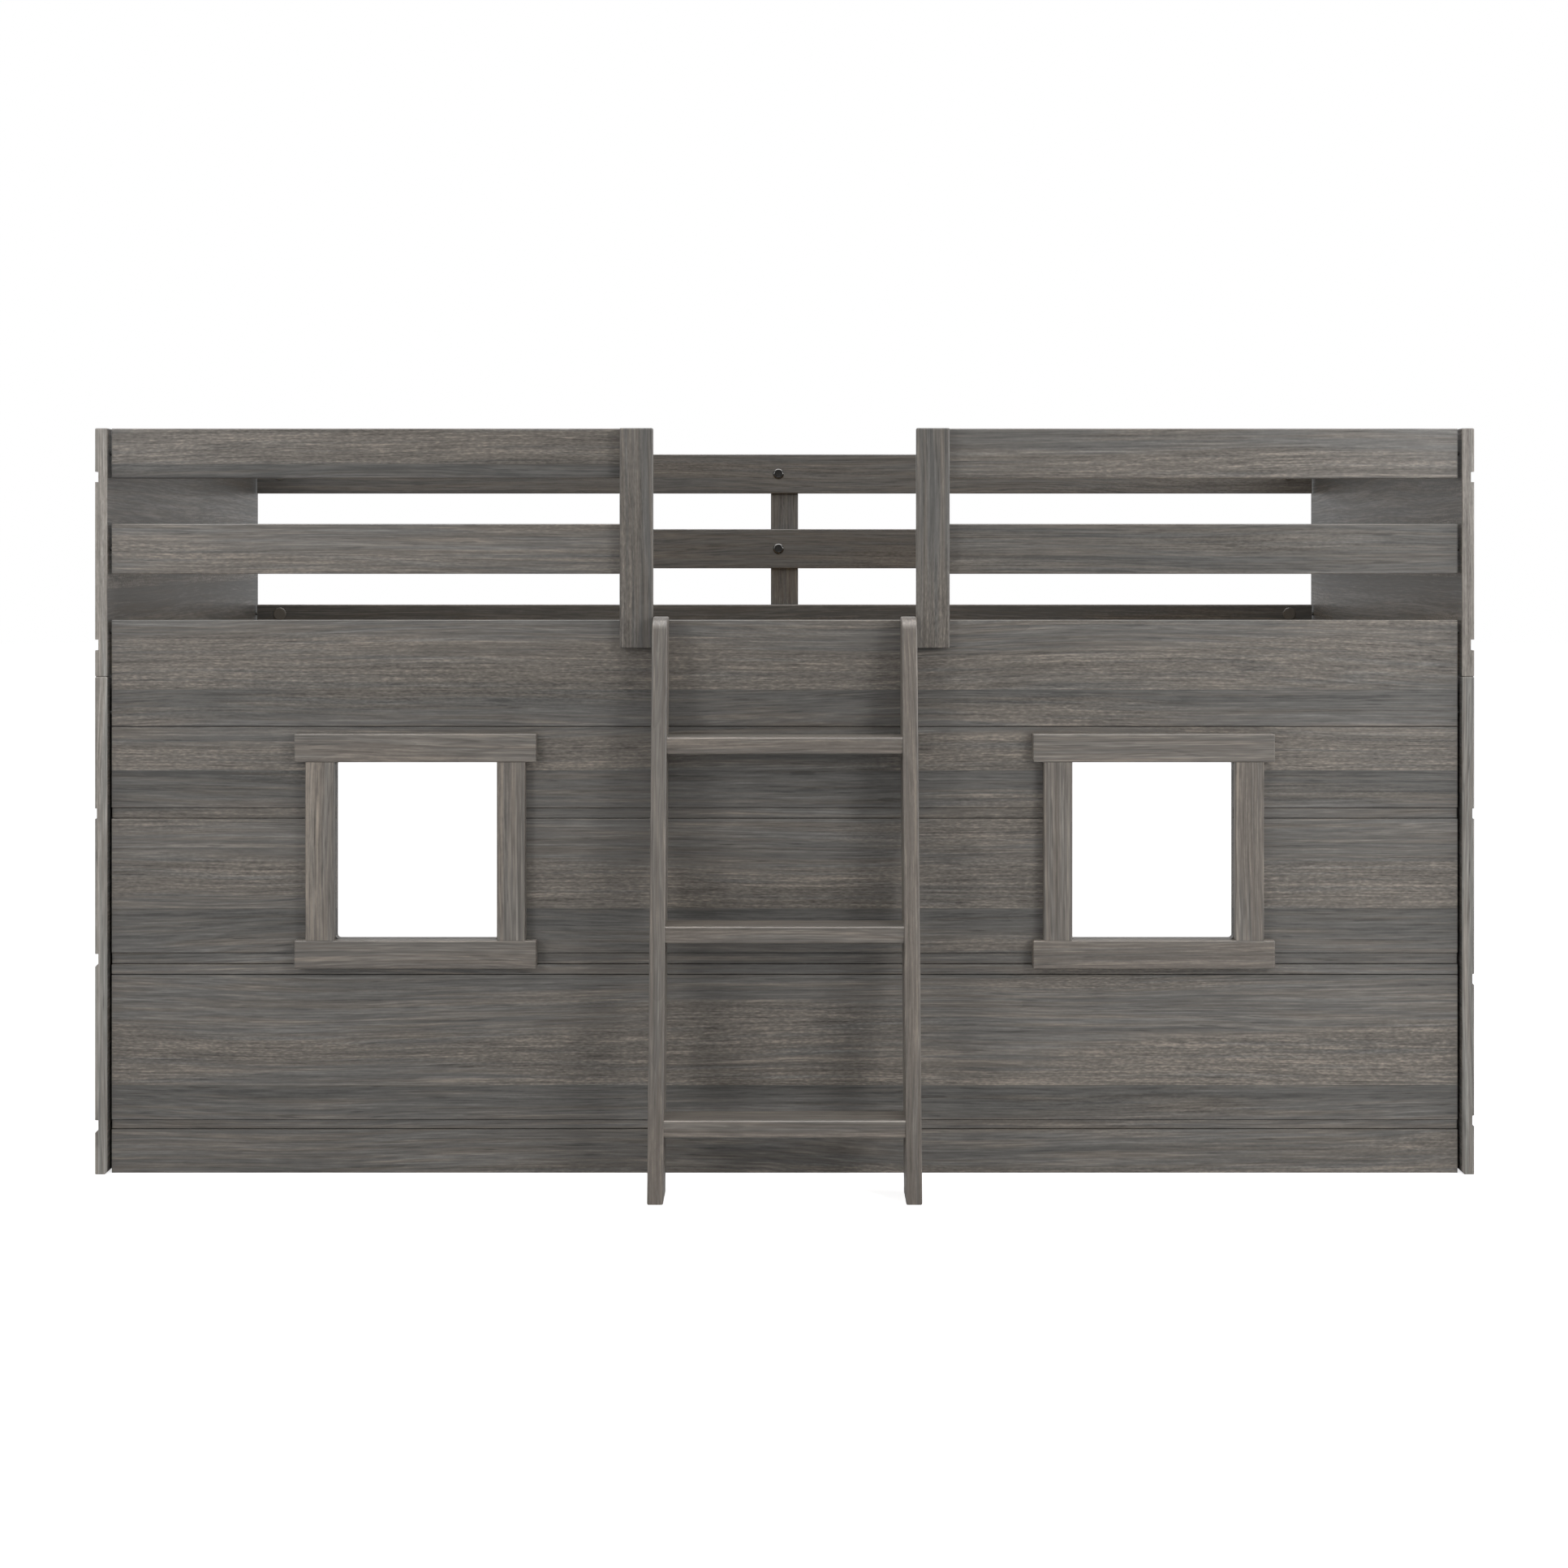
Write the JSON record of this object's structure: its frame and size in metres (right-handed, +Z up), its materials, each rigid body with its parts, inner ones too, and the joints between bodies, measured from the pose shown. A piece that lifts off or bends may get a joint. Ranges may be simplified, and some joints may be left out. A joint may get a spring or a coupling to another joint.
{
  "type": "loft bed with ladder",
  "caption": "Low loft bed in grey stained pine with a plank-look front panel, framed window openings, guard rails, a slatted deck and a leaning ladder that hooks over the side rail.",
  "frame": {"origin": "middle of the footprint's bounding box, on the floor; the footprint runs from the ladder's feet to the back of the centre post", "axes": "+X along the bed towards its right end as seen from the front, +Y from the ladder side to the back, +Z up"},
  "size_m": [1.976, 1.2396, 1.069],
  "materials": {
    "stained_pine": "grey-brown stain under a matt lacquer, grain showing",
    "raw_pine": "planed, unstained",
    "beech": "fluted dowel rod",
    "black_steel": "glossy black",
    "hook_steel": "black powder coat",
    "zinc_steel": "zinc plated",
    "cap_plastic": "moulded, grey-brown"
  },
  "bodies": {
    "bed": {"back_centre_post": "stained_pine", "back_left_corner_cleat": "stained_pine", "back_lower_guard_rail": "stained_pine", "back_lower_stretcher": "stained_pine", "back_right_corner_cleat": "stained_pine", "back_side_rail": "stained_pine", "back_slat_cleat": "stained_pine", "back_upper_guard_rail": "stained_pine", "barrel_nuts": "zinc_steel", "connector_bolts": "black_steel", "end_panel_dowels": "beech", "front_centre_batten": "stained_pine", "front_left_corner_cleat": "stained_pine", "front_left_lower_guard_rail": "stained_pine", "front_left_post": "stained_pine", "front_left_upper_guard_rail": "stained_pine", "front_lower_panel": "stained_pine", "front_right_corner_cleat": "stained_pine", "front_right_lower_guard_rail": "stained_pine", "front_right_post": "stained_pine", "front_right_upper_guard_rail": "stained_pine", "front_side_rail": "stained_pine", "front_slat_cleat": "stained_pine", "front_window_panel": "stained_pine", "left_end_lower_panel": "stained_pine", "left_end_upper_panel": "stained_pine", "left_window_head": "stained_pine", "left_window_inner_jamb": "stained_pine", "left_window_outer_jamb": "stained_pine", "left_window_sill": "stained_pine", "nut_caps": "cap_plastic", "post_bolts": "black_steel", "right_end_lower_panel": "stained_pine", "right_end_upper_panel": "stained_pine", "right_window_head": "stained_pine", "right_window_inner_jamb": "stained_pine", "right_window_outer_jamb": "stained_pine", "right_window_sill": "stained_pine", "slat_01": "raw_pine", "slat_02": "raw_pine", "slat_03": "raw_pine", "slat_04": "raw_pine", "slat_05": "raw_pine", "slat_06": "raw_pine", "slat_07": "raw_pine", "slat_08": "raw_pine", "slat_09": "raw_pine", "slat_10": "raw_pine", "slat_11": "raw_pine", "slat_12": "raw_pine", "slat_13": "raw_pine", "wood_screws": "zinc_steel"},
    "ladder": {"ladder_left_hook": "hook_steel", "ladder_left_stringer": "stained_pine", "ladder_lower_tread": "stained_pine", "ladder_middle_tread": "stained_pine", "ladder_right_hook": "hook_steel", "ladder_right_stringer": "stained_pine", "ladder_screws": "zinc_steel", "ladder_upper_tread": "stained_pine"}
  },
  "joints": [
    {"name": "ladder_lift", "type": "slide", "parent": "bed", "child": "ladder", "axis": [0, 0, 1], "range_m": [0, 0.06]}
  ]
}
